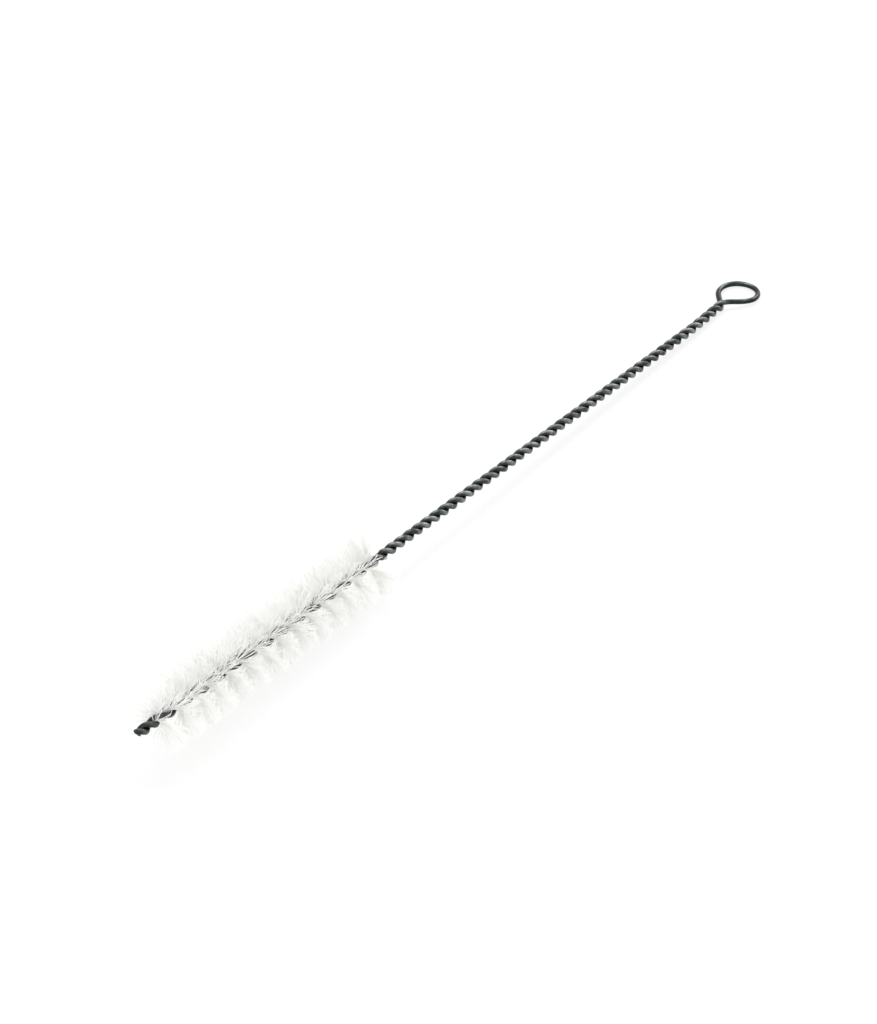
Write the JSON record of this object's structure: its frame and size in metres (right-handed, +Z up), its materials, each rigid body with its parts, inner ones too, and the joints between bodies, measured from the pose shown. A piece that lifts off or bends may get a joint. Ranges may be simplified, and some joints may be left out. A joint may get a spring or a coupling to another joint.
{
  "type": "test tube brush",
  "caption": "Test tube brush: a twisted steel wire with a hanging eye grips a round head of white bristles, for scrubbing the inside of narrow glass tubes.",
  "frame": {"origin": "middle of the base of the bounding box, on the surface that the brush lies on", "axes": "+X along the brush from its tip towards its hanging eye, +Y across it in the plane of the eye, +Z up"},
  "size_m": [0.2797, 0.019, 0.0228],
  "materials": {
    "dark_steel_wire": "dark drawn steel wire, semi-gloss",
    "white_nylon": "soft, slightly translucent nylon filament"
  },
  "bodies": {
    "root": {"twisted_wire": "dark_steel_wire", "bristles": "white_nylon"}
  },
  "joints": []
}
